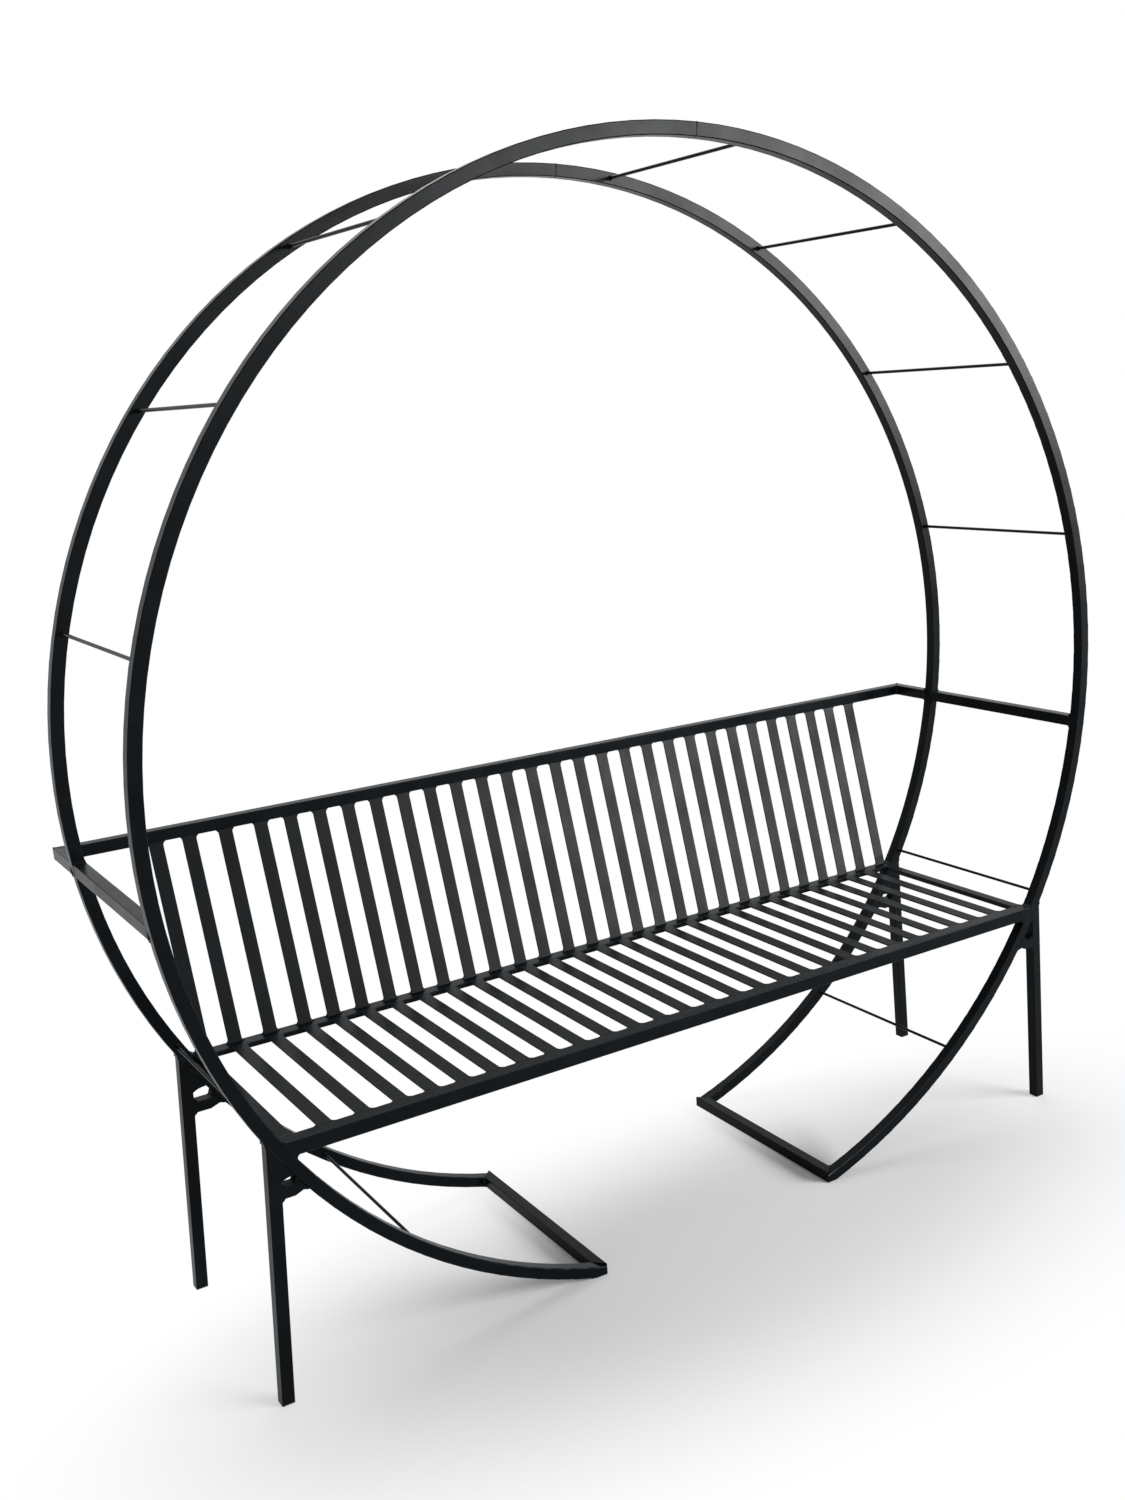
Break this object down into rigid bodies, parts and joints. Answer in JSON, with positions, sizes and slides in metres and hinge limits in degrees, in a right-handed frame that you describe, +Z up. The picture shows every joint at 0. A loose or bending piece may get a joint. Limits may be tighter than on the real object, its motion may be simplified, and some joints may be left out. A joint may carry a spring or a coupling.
{
  "type": "garden bench in a round arch",
  "caption": "Welded black steel garden bench with a slatted seat and leaning slatted back, set between large round hoops that form an open circle around the sitter.",
  "frame": {"origin": "on the floor, in the middle of the whole width and depth", "axes": "+X along the bench, -Y the way the sitter faces, +Z up"},
  "size_m": [1.9998, 0.57, 1.9563],
  "materials": {
    "black_paint": "satin",
    "foot_plastic": "matte"
  },
  "bodies": {
    "root": {"back_slats": "black_paint", "back_top_rail": "black_paint", "front_hoop_left": "black_paint", "front_hoop_right": "black_paint", "front_hoop_sleeve": "black_paint", "front_left_foot_plug": "foot_plastic", "front_left_leg": "black_paint", "front_left_leg_tie": "black_paint", "front_right_foot_plug": "foot_plastic", "front_right_leg": "black_paint", "front_right_leg_tie": "black_paint", "front_seat_rail": "black_paint", "left_floor_bar": "black_paint", "left_front_arm": "black_paint", "left_rear_arm": "black_paint", "left_rung_1": "black_paint", "left_rung_2": "black_paint", "left_rung_3": "black_paint", "left_rung_4": "black_paint", "left_rung_5": "black_paint", "left_rung_6": "black_paint", "left_seat_end_rail": "black_paint", "rear_hoop_left": "black_paint", "rear_hoop_right": "black_paint", "rear_hoop_sleeve": "black_paint", "rear_left_foot_plug": "foot_plastic", "rear_left_leg": "black_paint", "rear_left_leg_tie": "black_paint", "rear_right_foot_plug": "foot_plastic", "rear_right_leg": "black_paint", "rear_right_leg_tie": "black_paint", "rear_seat_rail": "black_paint", "right_floor_bar": "black_paint", "right_front_arm": "black_paint", "right_rear_arm": "black_paint", "right_rung_1": "black_paint", "right_rung_2": "black_paint", "right_rung_3": "black_paint", "right_rung_4": "black_paint", "right_rung_5": "black_paint", "right_rung_6": "black_paint", "right_seat_end_rail": "black_paint", "seat_slats": "black_paint"}
  },
  "joints": []
}
